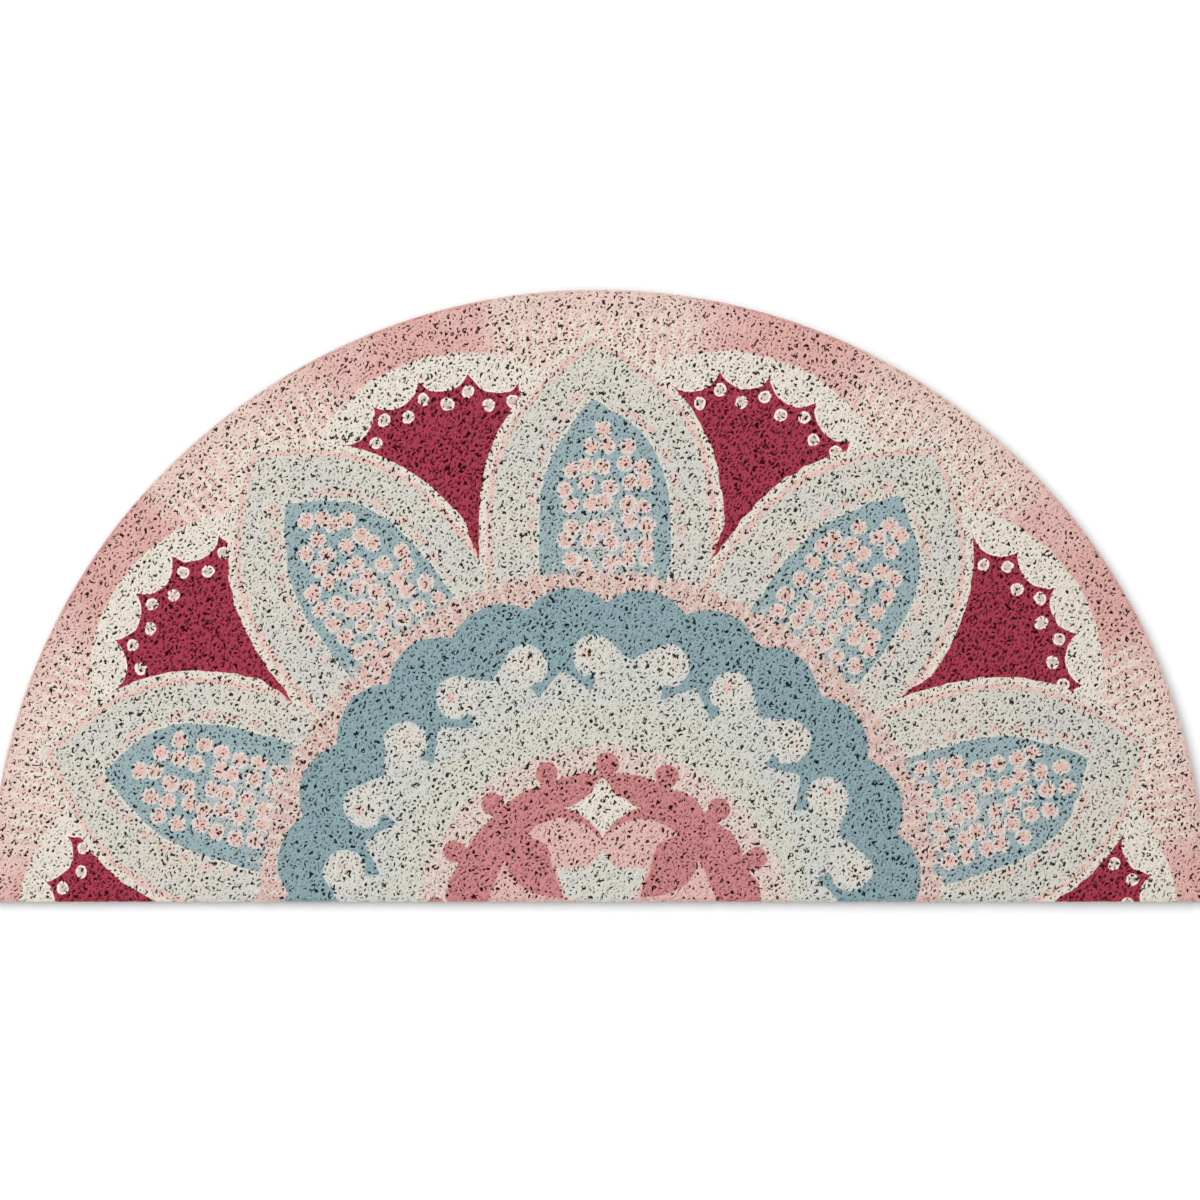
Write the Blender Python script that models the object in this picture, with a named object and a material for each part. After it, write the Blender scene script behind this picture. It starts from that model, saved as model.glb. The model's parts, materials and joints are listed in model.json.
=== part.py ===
"""Half-moon doormat, cut from one slab of printed vinyl loop matting.

Metres, +Z up. The origin is on the floor, under the middle of the mat's outer box. The straight
edge runs along X on the -Y side, and the round edge faces +Y.
"""

import math

import bmesh
import bpy

# Driving dimensions
RADIUS = 0.400  # of the round edge, so the mat is 80 cm wide
CUT_PAST_CENTRE = 0.0025  # the straight cut runs this far beyond the middle of the circle
THICKNESS = 0.010  # loops and the film under them together
TOP_EASE = 0.0015  # the loops bend over the top edge by this much

# How finely the round edge and the eased top are stepped
ARC_STEPS = 144
EASE_STEPS = 3

# Finish of the mat seen from far away: the mean of its pink, cream, blue and crimson print
PRINT_MEAN = (0.60, 0.46, 0.43, 1.0)
VINYL_ROUGHNESS = 0.75

DEPTH = RADIUS + CUT_PAST_CENTRE
CIRCLE_CENTRE_Y = CUT_PAST_CENTRE - DEPTH / 2


def clear_scene():
    """Empty the file, so that the mat is all it holds."""
    for old in list(bpy.data.objects):
        bpy.data.objects.remove(old, do_unlink=True)


def printed_vinyl():
    """Matte vinyl, in the print's mean colour."""
    material = bpy.data.materials.new("printed_vinyl")
    material.use_nodes = True
    shader = material.node_tree.nodes["Principled BSDF"]
    shader.inputs["Base Color"].default_value = PRINT_MEAN
    shader.inputs["Roughness"].default_value = VINYL_ROUGHNESS
    shader.inputs["Metallic"].default_value = 0.0
    material.diffuse_color = PRINT_MEAN
    return material


def half_moon_outline():
    """The cut line, corner to corner along the round edge, as points in the floor's plane."""
    past = math.asin(CUT_PAST_CENTRE / RADIUS)
    start = -past
    sweep = math.pi + 2 * past
    outline = []
    for step in range(ARC_STEPS + 1):
        angle = start + sweep * step / ARC_STEPS
        outline.append((RADIUS * math.cos(angle), CIRCLE_CENTRE_Y + RADIUS * math.sin(angle)))
    return outline


def half_moon_slab():
    """A closed slab on the outline, with its top edge eased all the way round."""
    shape = bmesh.new()
    corners = [shape.verts.new((x, y, 0.0)) for x, y in half_moon_outline()]
    base = shape.faces.new(corners)
    raised = bmesh.ops.extrude_face_region(shape, geom=[base])
    top_corners = [part for part in raised["geom"] if isinstance(part, bmesh.types.BMVert)]
    bmesh.ops.translate(shape, verts=top_corners, vec=(0.0, 0.0, THICKNESS))
    bmesh.ops.recalc_face_normals(shape, faces=shape.faces[:])
    rim = [edge for edge in shape.edges if all(v in top_corners for v in edge.verts)]
    bmesh.ops.bevel(
        shape,
        geom=rim,
        offset=TOP_EASE,
        offset_type="OFFSET",
        segments=EASE_STEPS,
        profile=0.5,
        affect="EDGES",
    )
    mesh = bpy.data.meshes.new("mat")
    shape.to_mesh(mesh)
    shape.free()
    return mesh


def make_mat():
    """The one sub-part: the mat, flat on the floor."""
    mesh = half_moon_slab()
    mesh.materials.append(printed_vinyl())
    mesh.shade_smooth()
    mesh.set_sharp_from_angle(angle=math.radians(40))
    mat = bpy.data.objects.new("mat", mesh)
    bpy.context.scene.collection.objects.link(mat)
    return mat


clear_scene()
make_mat()
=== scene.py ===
"""Looks of the half-moon doormat: one slab of curled vinyl strands with a rosette printed on it.

Metres, +Z up, in the frame of the packed mat: the straight edge runs along X on the -Y side and
the underside lies at z = 0. The file is laid out as a Blender add-on and is run as a script.
Each operator makes one piece, a group of like pieces or the stage, and main() calls them in order.

The print is worked out by rule from its own middle, a little beyond the straight edge. Its sizes
are in millimetres, its angles are counted from the mat's middle line towards +X, and its repeats
come from folding the angle round the middle.
"""

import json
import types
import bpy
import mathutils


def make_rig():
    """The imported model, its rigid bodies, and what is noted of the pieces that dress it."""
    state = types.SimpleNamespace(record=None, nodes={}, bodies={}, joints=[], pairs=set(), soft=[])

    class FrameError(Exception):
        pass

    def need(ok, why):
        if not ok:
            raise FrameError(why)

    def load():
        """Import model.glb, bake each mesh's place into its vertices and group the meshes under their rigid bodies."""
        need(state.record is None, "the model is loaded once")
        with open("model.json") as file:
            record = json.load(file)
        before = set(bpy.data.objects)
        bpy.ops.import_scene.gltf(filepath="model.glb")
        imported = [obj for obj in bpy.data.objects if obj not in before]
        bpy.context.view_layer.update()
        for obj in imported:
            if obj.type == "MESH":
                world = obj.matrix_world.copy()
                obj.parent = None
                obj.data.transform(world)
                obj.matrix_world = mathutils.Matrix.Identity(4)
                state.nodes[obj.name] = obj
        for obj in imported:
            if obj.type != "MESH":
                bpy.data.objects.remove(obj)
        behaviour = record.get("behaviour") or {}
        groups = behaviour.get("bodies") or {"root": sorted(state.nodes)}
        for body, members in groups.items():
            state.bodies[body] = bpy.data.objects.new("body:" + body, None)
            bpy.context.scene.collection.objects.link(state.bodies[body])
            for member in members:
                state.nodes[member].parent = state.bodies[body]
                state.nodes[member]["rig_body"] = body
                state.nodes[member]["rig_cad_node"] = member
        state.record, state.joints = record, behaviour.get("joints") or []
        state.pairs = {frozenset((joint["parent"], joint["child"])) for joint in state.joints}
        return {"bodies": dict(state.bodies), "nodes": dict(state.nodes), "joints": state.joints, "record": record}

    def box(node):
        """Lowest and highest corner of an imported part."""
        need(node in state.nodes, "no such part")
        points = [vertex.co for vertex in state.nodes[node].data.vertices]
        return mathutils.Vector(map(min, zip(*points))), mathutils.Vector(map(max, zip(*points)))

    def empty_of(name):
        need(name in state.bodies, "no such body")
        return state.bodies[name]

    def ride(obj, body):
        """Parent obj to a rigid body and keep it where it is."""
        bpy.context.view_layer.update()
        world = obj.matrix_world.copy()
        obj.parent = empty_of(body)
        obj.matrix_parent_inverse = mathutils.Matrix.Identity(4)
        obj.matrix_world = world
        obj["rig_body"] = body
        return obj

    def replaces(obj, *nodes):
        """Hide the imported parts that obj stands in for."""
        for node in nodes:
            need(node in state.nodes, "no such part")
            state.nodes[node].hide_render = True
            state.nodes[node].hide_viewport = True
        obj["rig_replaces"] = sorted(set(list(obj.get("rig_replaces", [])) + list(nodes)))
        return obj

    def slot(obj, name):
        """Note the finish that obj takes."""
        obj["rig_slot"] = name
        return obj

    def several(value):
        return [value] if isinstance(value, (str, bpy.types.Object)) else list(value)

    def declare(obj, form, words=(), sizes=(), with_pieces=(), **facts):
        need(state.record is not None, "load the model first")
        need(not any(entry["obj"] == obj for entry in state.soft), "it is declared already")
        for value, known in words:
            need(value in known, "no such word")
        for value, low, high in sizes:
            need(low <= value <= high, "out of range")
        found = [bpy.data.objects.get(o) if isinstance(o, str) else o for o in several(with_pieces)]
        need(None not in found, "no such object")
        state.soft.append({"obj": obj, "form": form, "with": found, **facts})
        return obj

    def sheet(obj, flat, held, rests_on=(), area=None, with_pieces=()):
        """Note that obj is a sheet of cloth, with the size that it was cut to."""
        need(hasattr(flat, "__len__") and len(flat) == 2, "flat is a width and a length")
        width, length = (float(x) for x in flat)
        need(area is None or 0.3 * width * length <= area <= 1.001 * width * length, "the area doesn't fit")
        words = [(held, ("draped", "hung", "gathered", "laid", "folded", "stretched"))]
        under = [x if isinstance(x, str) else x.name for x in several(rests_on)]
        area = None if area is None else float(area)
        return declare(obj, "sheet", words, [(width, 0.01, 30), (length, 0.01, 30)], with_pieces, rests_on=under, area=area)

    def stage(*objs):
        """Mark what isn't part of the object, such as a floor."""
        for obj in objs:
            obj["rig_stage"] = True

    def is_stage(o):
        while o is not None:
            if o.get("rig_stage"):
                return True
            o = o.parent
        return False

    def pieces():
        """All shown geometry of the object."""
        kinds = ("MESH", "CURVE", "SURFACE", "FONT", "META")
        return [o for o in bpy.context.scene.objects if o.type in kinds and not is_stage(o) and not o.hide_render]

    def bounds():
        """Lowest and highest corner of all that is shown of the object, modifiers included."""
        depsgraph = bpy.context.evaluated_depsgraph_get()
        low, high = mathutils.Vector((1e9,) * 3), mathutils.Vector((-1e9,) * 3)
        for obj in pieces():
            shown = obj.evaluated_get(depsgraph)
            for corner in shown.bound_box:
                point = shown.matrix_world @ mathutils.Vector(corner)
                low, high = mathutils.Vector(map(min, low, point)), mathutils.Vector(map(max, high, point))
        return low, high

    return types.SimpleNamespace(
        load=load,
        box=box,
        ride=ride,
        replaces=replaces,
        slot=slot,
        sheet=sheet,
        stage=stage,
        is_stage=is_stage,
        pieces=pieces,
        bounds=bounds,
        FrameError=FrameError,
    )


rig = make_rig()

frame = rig.load()

import json
import math
from contextlib import contextmanager

import bmesh
import bpy
from bpy.props import FloatProperty, FloatVectorProperty, IntProperty, PointerProperty
from bpy.types import Operator, Panel, PropertyGroup
from mathutils import Vector

bl_info = {
    "name": "Half-moon doormat",
    "version": (1, 0, 0),
    "blender": (4, 5, 0),
    "location": "3D View > Sidebar > Doormat",
    "description": "Makes the strands, the print and the body of a half-moon vinyl loop doormat",
    "category": "Object",
}

CAD_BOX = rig.bounds()
MAT_LOW, MAT_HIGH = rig.box("mat")
MM = 0.001

# The mat's outline, from its box: a half disc cut a little beyond its middle
RADIUS = (MAT_HIGH.x - MAT_LOW.x) / 2
EDGE_Y = MAT_LOW.y
CENTRE_Y = MAT_HIGH.y - RADIUS
TOP = MAT_HIGH.z
FLAT_AREA = math.pi * RADIUS**2 / 2 + 2 * RADIUS * (CENTRE_Y - EDGE_Y)

deg = math.radians


def ink(code):
    """A colour written as red, green and blue in hexadecimal, as Blender's linear values."""
    parts = [int(code[i:i + 2], 16) / 255 for i in (0, 2, 4)]
    return tuple(c / 12.92 if c <= 0.04045 else ((c + 0.055) / 1.055) ** 2.4 for c in parts) + (1.0,)


def length(name, description, default):
    """A size property, in metres."""
    return FloatProperty(
        name=name, description=description, default=default, min=0.0, precision=4, unit="LENGTH"
    )


def colour(name, description, code):
    """A colour property."""
    return FloatVectorProperty(
        name=name, description=description, default=ink(code), size=4, min=0.0, max=1.0,
        subtype="COLOR",
    )


class DoormatSizes(PropertyGroup):
    """Sizes of the strands and of the body under them."""

    spacing: length("Loop spacing", "Least distance between the middles of two loops", 0.00245)
    loop_radius: length("Loop radius", "Mean radius of a curled strand", 0.0024)
    loop_turn: FloatProperty(
        name="Loop turn", description="How far round a strand curls", default=deg(285),
        subtype="ANGLE",
    )
    strand_width: length("Strand width", "Width of a strand seen from above", 0.0016)
    strand_height: length("Strand height", "Height of a strand's round back", 0.0005)
    loop_stretch: FloatProperty(
        name="Loop stretch", description="How much longer than wide a curl is", default=1.2,
    )
    run: FloatProperty(
        name="Run", description="Way that the curls are stretched, from +X", default=deg(57),
        subtype="ANGLE",
    )
    wander: length("Wander", "How far a strand strays from its round curl", 0.0010)
    pile_low: length("Pile bottom", "Height where a strand dives between its neighbours", 0.0080)
    body_top: length("Body top", "Height of the matted strands under the loops", 0.0084)
    film: length("Film", "Thickness of the film along the underside", 0.0012)
    inset: length("Inset", "How far the matted body stands back from the cut edge", 0.0020)
    edge_spacing: length("Edge spacing", "Least distance between two loops of the cut edge", 0.0022)
    edge_radius: length("Edge radius", "Mean radius of a loop of the cut edge", 0.0024)
    edge_strand: length("Edge strand", "Width of a strand of the cut edge", 0.0013)
    edge_inset: length("Edge inset", "How far the cut edge's loops stand back from it", 0.0011)
    seed: IntProperty(name="Seed", description="Start of every random choice", default=11)


class DoormatInks(PropertyGroup):
    """Colours of the print and of the vinyl under it."""

    band: colour("Outer band", "Dusty pink along the round edge", "D6B6AE")
    band_deep: colour("Outer band, deep", "Where the outer pink lies thicker", "D0A29B")
    rays: colour("Rays", "Cream strokes over the outer band", "DDD1C4")
    collar: colour("Collar", "Scalloped off-white collar over each fan", "D8D1C4")
    crimson: colour("Crimson", "The fans between the petals", "9C2F43")
    dot: colour("Dots", "Edge of the small round dots", "F2DFD7")
    dot_core: colour("Dot cores", "Greyish middle of the small dots", "C8B9AC")
    line: colour("Petal line", "Cream line round each petal", "D7CFC2")
    blush: colour("Blush", "Pink line inside the cream one, and the dashes", "D7B5AB")
    petal: colour("Petals", "Off-white band of the petals", "CBC7BC")
    petal_cool: colour("Petals, cool", "Grey-green and lavender patches on the petals", "C6C4BE")
    heart: colour("Hearts", "Blue hearts of the petals", "92A6A9")
    bead: colour("Beads", "Pink middle of the beads in the hearts", "D4B0A6")
    bead_edge: colour("Bead edges", "Pale edge of the beads", "D9CEC6")
    root: colour("Petal roots", "Pink ground where the petals meet the blue ring", "CDAFA7")
    ring: colour("Blue ring", "Scalloped ring inside the petals", "859DA2")
    wave: colour("Waves", "White waves that curl into the blue ring", "C6C6C1")
    cream: colour("Cream ring", "Yellowish ring inside the waves", "C9C7BB")
    tooth: colour("Pale rim", "Pale pink rim round the rose", "D1B9B1")
    rose: colour("Rose", "Knobbed rose disc", "C17E7F")
    crescent: colour("Crescents", "Pale pink upper petals of the blossom", "D4ADA7")
    star: colour("Star", "Cream star over the blossom", "DAD1C6")
    cup: colour("Cup", "Grey-white cup of the blossom", "CBC8BF")
    # Painted shade: a near-black set down between the loops, standing for the shade there.
    deep: colour("Painted pit shade", "Painted shade down between the loops", "0C0F0C")
    plain: colour("Plain vinyl", "Unprinted strands of the cut edge", "6E6B63")
    film: colour("Film", "Plain film along the underside", "33342F")


class DoormatPrint(PropertyGroup):
    """Main sizes of the rosette, all measured from its own middle."""

    centre_below: length("Centre below edge", "From the straight edge out to the middle", 0.0066)
    petal_tip: length("Petal tip", "Radius at the tips of the petals", 0.3830)
    petal_widest: length("Petal widest", "Radius where a petal is widest", 0.2400)
    petal_half: length("Petal half-width", "Half of a petal's greatest width", 0.0805)
    heart_tip: length("Heart tip", "Radius at the tips of the hearts", 0.3375)
    heart_widest: length("Heart widest", "Radius where a heart is widest", 0.2400)
    heart_half: length("Heart half-width", "Half of a heart's greatest width", 0.0434)
    fan_root: length("Fan root", "Radius of the point that the fans spread from", 0.2707)
    ring_outer: length("Blue ring, outer", "Radius of the blue ring's outer valleys", 0.2037)
    rose_outer: length("Rose, outer", "Radius of the rose disc without its knobs", 0.1050)


def settings():
    """The scene's sizes, inks and print measures."""
    scene = bpy.context.scene
    return scene.doormat_sizes, scene.doormat_inks, scene.doormat_print


# Nodes


class Wire:
    """A number that leaves a socket of a node tree. The usual signs on it add Math nodes."""

    def __init__(self, tree, socket):
        self.tree = tree
        self.socket = socket

    def __add__(self, other):
        return figure(self.tree, "ADD", self, other)

    def __sub__(self, other):
        return figure(self.tree, "SUBTRACT", self, other)

    def __rsub__(self, other):
        return figure(self.tree, "SUBTRACT", other, self)

    def __mul__(self, other):
        return figure(self.tree, "MULTIPLY", self, other)

    def __truediv__(self, other):
        return figure(self.tree, "DIVIDE", self, other)

    def __abs__(self):
        return figure(self.tree, "ABSOLUTE", self)

    def __neg__(self):
        return figure(self.tree, "MULTIPLY", self, -1.0)

    __radd__ = __add__
    __rmul__ = __mul__


def put(tree, socket, value):
    """Give an input socket a wire, another socket or a plain value."""
    if isinstance(value, Wire):
        tree.links.new(value.socket, socket)
    elif isinstance(value, bpy.types.NodeSocket):
        tree.links.new(value, socket)
    else:
        socket.default_value = value


def add(tree, kind, inputs=None, **options):
    """Add a node, set its options, then its inputs by name or by place."""
    node = tree.nodes.new(kind)
    for option, value in options.items():
        setattr(node, option, value)
    for key, value in (inputs or {}).items():
        put(tree, node.inputs[key], value)
    return node


def figure(tree, operation, *values, clamp=False):
    """A Math node as a wire."""
    node = add(tree, "ShaderNodeMath", dict(enumerate(values)), operation=operation, use_clamp=clamp)
    return Wire(tree, node.outputs[0])


def least(*wires):
    """The smallest of some wires."""
    found = wires[0]
    for wire in wires[1:]:
        found = figure(found.tree, "MINIMUM", found, wire)
    return found


def most(*wires):
    """The largest of some wires."""
    found = wires[0]
    for wire in wires[1:]:
        found = figure(found.tree, "MAXIMUM", found, wire)
    return found


def vector_step(tree, operation, first, second):
    """One step of vector arithmetic."""
    return add(tree, "ShaderNodeVectorMath", {0: first, 1: second}, operation=operation).outputs[0]


def parts_of(tree, vector):
    """The three numbers of a vector, as wires."""
    return [Wire(tree, s) for s in add(tree, "ShaderNodeSeparateXYZ", {0: vector}).outputs]


def cells_over(tree, vector, randomness):
    """Flat cells about strewn middles, one unit apart."""
    return add(
        tree, "ShaderNodeTexVoronoi",
        {"Vector": vector, "Scale": 1.0, "Randomness": randomness},
        voronoi_dimensions="2D", feature="F1",
    )


def far(across, along):
    """The length of the way given by two wires."""
    tree = across.tree
    pair = add(tree, "ShaderNodeCombineXYZ", {0: across, 1: along})
    node = add(tree, "ShaderNodeVectorMath", {0: pair.outputs[0]}, operation="LENGTH")
    return Wire(tree, node.outputs["Value"])


def fold(angle, pitch, phase=0.0):
    """The angle from the nearest of the spokes that stand a pitch apart, with one at phase."""
    return figure(angle.tree, "WRAP", angle - phase, pitch / 2, -pitch / 2)


def on_spoke(radius, angle, at=0.0):
    """Sideways and outward distances from the rosette's middle, along a spoke."""
    tree = radius.tree
    across = radius * figure(tree, "SINE", angle)
    along = radius * figure(tree, "COSINE", angle) - at
    return across, along


def inside(distance, soft=0.5):
    """1 where a signed distance in millimetres is below zero, 0 outside, with a soft edge."""
    return figure(distance.tree, "MULTIPLY_ADD", distance, -1.0 / soft, 0.5, clamp=True)


def leaf(across, along, tip, widest, half, power):
    """Signed distance, nearly, from a leaf that narrows as a power of the way to its tip."""
    tree = across.tree
    share = figure(tree, "MAXIMUM", along - widest, 0.0) / (tip - widest)
    side = (1.0 - figure(tree, "POWER", share, power)) * half
    lean = figure(tree, "POWER", share, power - 1.0) * (half * power / (tip - widest))
    stretch = figure(tree, "SQRT", figure(tree, "MULTIPLY_ADD", lean, lean, 1.0))
    return (abs(across) - side) / stretch


def blend(tree, share, under, over):
    """Lay one colour over another by a share from 0 to 1."""
    node = tree.nodes.new("ShaderNodeMix")
    node.data_type = "RGBA"
    colours = [s for s in node.inputs if s.type == "RGBA"]
    put(tree, node.inputs[0], share)
    put(tree, colours[0], under)
    put(tree, colours[1], over)
    return next(s for s in node.outputs if s.type == "RGBA")


def noise(tree, vector, scale, detail=1.0, roughness=0.5, kind="2D"):
    """A noise node's value, and its three colour channels, each from 0 to 1."""
    node = add(
        tree, "ShaderNodeTexNoise",
        {"Vector": vector, "Scale": scale, "Detail": detail, "Roughness": roughness},
        noise_dimensions=kind,
    )
    parts = add(tree, "ShaderNodeSeparateColor", {0: node.outputs["Color"]})
    return [Wire(tree, s) for s in parts.outputs]


@contextmanager
def labelled(tree, label):
    """Gather the nodes added meanwhile in a labelled frame, to the right of the last frame."""
    before = {node.name for node in tree.nodes}
    yield
    box = tree.nodes.new("NodeFrame")
    box.label = label
    left = tree.get("next_column", 0.0)
    new = [n for n in tree.nodes if n.name not in before and n != box]
    rows = 12
    for place, node in enumerate(new):
        node.parent = box
        node.location = (left + 180 * (place // rows), -170 * (place % rows))
    tree["next_column"] = left + 180 * (len(new) // rows + 1) + 80


def shader_group(name, inputs, outputs):
    """An empty shader node group with its named sockets, and its two end nodes."""
    tree = bpy.data.node_groups.new(name, "ShaderNodeTree")
    for label, kind in inputs:
        tree.interface.new_socket(label, in_out="INPUT", socket_type=kind)
    for label, kind in outputs:
        tree.interface.new_socket(label, in_out="OUTPUT", socket_type=kind)
    return tree, tree.nodes.new("NodeGroupInput"), tree.nodes.new("NodeGroupOutput")


# The print

PETAL_PITCH = deg(36.7)
PETAL_PHASE = deg(-0.4)


class Rosette:
    """The print's coordinates in one tree, and the colour that its layers have built up."""

    def __init__(self, tree, inks, sizes):
        self.tree = tree
        self.inks = inks
        self.sizes = sizes
        self.colour = None

    def size(self, name):
        """A measure of the print, in millimetres."""
        return getattr(self.sizes, name) / MM

    def lay(self, mask, ink_name):
        """Print one more ink through a mask."""
        over = self.inks.outputs[ink_name] if isinstance(ink_name, str) else ink_name
        self.colour = blend(self.tree, mask, self.colour, over)


def print_coordinates(art):
    """Millimetres and angles from the rosette's middle, a little unsteady, as painted by hand."""
    tree = art.tree
    place = add(tree, "ShaderNodeTexCoord").outputs["Object"]
    middle = (0.0, EDGE_Y - art.sizes.centre_below, 0.0)
    moved = vector_step(tree, "SUBTRACT", place, middle)
    art.flat = vector_step(tree, "MULTIPLY", moved, (1 / MM, 1 / MM, 0.0))
    unsteady = noise(tree, art.flat, 0.09, detail=2.0)
    art.patch = noise(tree, art.flat, 0.022, detail=2.0)
    art.fibre = noise(tree, art.flat, 0.33, detail=1.0)
    sway = 3.0
    x, y, _ = parts_of(tree, art.flat)
    art.u = x + (unsteady[0] - 0.5) * sway
    art.v = y + (unsteady[1] - 0.5) * sway
    art.radius = far(art.u, art.v)
    art.angle = figure(tree, "ARCTAN2", art.u, art.v)
    art.ragged = (unsteady[2] - 0.5) * 12.0


def print_band(art):
    """The dusty pink outer band, deeper between the petals' tips."""
    tree = art.tree
    between = abs(fold(art.angle, PETAL_PITCH, PETAL_PHASE + PETAL_PITCH / 2)) / deg(10)
    thick = figure(tree, "MULTIPLY_ADD", art.patch[0], 2.6, 0.1 - between, clamp=True)
    art.colour = blend(tree, thick, art.inks.outputs["Outer band"], art.inks.outputs["Outer band, deep"])


def print_rays(art):
    """Cream strokes that stand round the edge over each petal's tip."""
    tree = art.tree
    pitch, half_stroke, reach = deg(1.25), 2.0, 393.0
    near = inside((abs(fold(art.angle, PETAL_PITCH, PETAL_PHASE)) - deg(10.0)) * art.radius, soft=16.0)
    art.lay(near * 0.30, "Rays")
    turned = art.angle + (art.fibre[0] - 0.5) * deg(0.4)
    stroke = inside(abs(fold(turned, pitch)) * art.radius - half_stroke, soft=1.6)
    end = inside(art.radius - (reach + art.ragged * 0.8), soft=9.0)
    strength = figure(tree, "MULTIPLY_ADD", art.fibre[1], 1.2, 0.25, clamp=True)
    art.lay(stroke * near * end * strength, "Rays")


def print_fans(art):
    """Between two petals: an off-white collar, and a scalloped crimson fan with dots."""
    tree = art.tree
    pitch = deg(20)
    collar_reach, fan_reach, dot_reach = 111.0, 101.8, 81.8
    scallop_seat, scallop_radius = 106.4, 19.7
    dot_radius, core_radius, dot_sway = 4.1, 2.7, 3.6
    spoke = fold(art.angle, PETAL_PITCH, PETAL_PHASE + PETAL_PITCH / 2)
    across, along = on_spoke(art.radius, spoke, at=art.size("fan_root"))
    reach = far(across, along)
    turn = figure(tree, "ARCTAN2", across, along)
    collar = reach - (collar_reach + art.ragged * 0.15)
    art.lay(inside(collar, soft=1.6), "Collar")
    scallop_across, scallop_along = on_spoke(reach, fold(turn, pitch, pitch / 2),
                                             at=scallop_seat)
    scallop = scallop_radius - far(scallop_across, scallop_along)
    fan = most(scallop, reach - fan_reach)
    art.lay(inside(fan - 1.1, soft=0.8) * 0.7, "Dots")
    art.lay(inside(fan), "Crimson")
    dot_turn = fold(turn, pitch / 2)
    sway = figure(tree, "COSINE", (turn - dot_turn) * 18.0)
    dot_across = reach * figure(tree, "SINE", dot_turn)
    dot_along = reach * figure(tree, "COSINE", dot_turn) - (sway * dot_sway + dot_reach)
    dot = far(dot_across, dot_along)
    upper = inside((abs(turn) - deg(46)) * 80.0)
    art.lay(inside(dot - dot_radius) * upper, "Dots")
    art.lay(inside(dot - core_radius, soft=0.9) * upper, "Dot cores")


def print_petals(art):
    """The petals: a cream line, a pink line inside it, and a broad off-white band."""
    tree = art.tree
    spoke = fold(art.angle, PETAL_PITCH, PETAL_PHASE)
    art.petal_number = (art.angle - spoke) / PETAL_PITCH
    art.across, art.along = on_spoke(art.radius, spoke)
    lean_from, lean, most_lean = 375.0, 0.16, 4.1
    line_width, band_inset = 4.6, 8.6
    aside = figure(tree, "MINIMUM", (lean_from - art.along) * lean, most_lean)
    petal = leaf(art.across - aside, art.along, art.size("petal_tip"), art.size("petal_widest"),
                 art.size("petal_half"), 2.9)
    art.lay(inside(petal), "Petal line")
    brushed = figure(tree, "MULTIPLY_ADD", art.fibre[2], 2.2, -0.2, clamp=True)
    art.lay(inside(petal + (line_width + art.ragged * 0.12), soft=1.6) * brushed, "Blush")
    cool = figure(tree, "MULTIPLY_ADD", art.patch[2], 5.0, -2.1, clamp=True)
    band = blend(tree, cool, art.inks.outputs["Petals"], art.inks.outputs["Petals, cool"])
    art.lay(inside(petal + (band_inset + art.ragged * 0.25), soft=2.4), band)


def from_heart(art, across, along):
    """Signed distance from a heart, whose tip leans back over its petal's spoke."""
    lean_from, lean, most_lean = 332.5, 0.36, 6.5
    aside = figure(art.tree, "MINIMUM", (lean_from - along) * lean, most_lean)
    return leaf(across - aside, along, art.size("heart_tip"), art.size("heart_widest"),
                art.size("heart_half"), 3.2)


def print_hearts(art):
    """The blue hearts, with a cream line and broken pink dashes round them."""
    tree = art.tree
    heart = from_heart(art, art.across, art.along)
    dome = figure(tree, "COSINE", art.across * 0.105)
    floor = (dome * 5.0 + 219.5) + art.ragged * 0.6 - art.along
    edge = most(heart, floor)
    art.heart = edge
    dash = figure(tree, "SINE", art.along * 0.40 + art.across * 0.15)
    ring = inside(abs(heart - (6.0 + art.ragged * 0.25)) - 2.3, soft=1.6)
    upper = inside(238.0 - art.along, soft=40.0)
    art.lay(ring * inside(-dash - 0.1, soft=0.6) * upper * 0.75, "Blush")
    art.lay(inside(heart - 1.6, soft=1.4) * 0.7, "Petal line")
    art.lay(inside(edge), "Hearts")


def print_beads(art):
    """Round beads, strewn in the hearts. A bead is drawn only where its middle lies well inside."""
    tree = art.tree
    pitch, rim_radius, bead_radius = 12.6, 5.7, 3.9
    clear_of_edge, lowest = 8.0, 222.0
    shift = art.petal_number * 37.4
    pair = add(tree, "ShaderNodeCombineXYZ", {0: art.across / pitch + shift, 1: art.along / pitch})
    cells = cells_over(tree, pair.outputs[0], 0.45)
    middle_across, middle_along, _ = parts_of(tree, cells.outputs["Position"])
    bead_across = (middle_across - shift) * pitch
    bead_along = middle_along * pitch
    seat = from_heart(art, bead_across, bead_along)
    whole = inside(most(seat + clear_of_edge, lowest - bead_along), soft=0.01)
    between = inside(far((art.across - 6.0) / 1.1, art.along - 246.0) - 20.0, soft=26.0)
    art.lay(between * 0.4 * inside(art.heart), "Bead edges")
    distance = Wire(tree, cells.outputs["Distance"]) * pitch + (art.fibre[1] - 0.5) * 2.0
    art.lay(inside(distance - rim_radius, soft=1.2) * whole * 0.9, "Bead edges")
    art.lay(inside(distance - bead_radius, soft=2.0) * whole * 0.9, "Beads")


def print_roots(art):
    """The pink ground between the petals' feet and the blue ring, with cream strokes."""
    tree = art.tree
    top = 224.0 + art.ragged * 0.9
    ground = inside(art.radius - top, soft=3.0)
    art.lay(ground, "Petal roots")
    turned = art.angle + (art.fibre[2] - 0.5) * deg(1.2)
    stroke = inside(abs(fold(turned, deg(2.4))) * art.radius - 1.6, soft=1.6)
    art.lay(stroke * inside(art.radius - (top + 5.0), soft=6.0) * 0.6, "Petal line")


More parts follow.
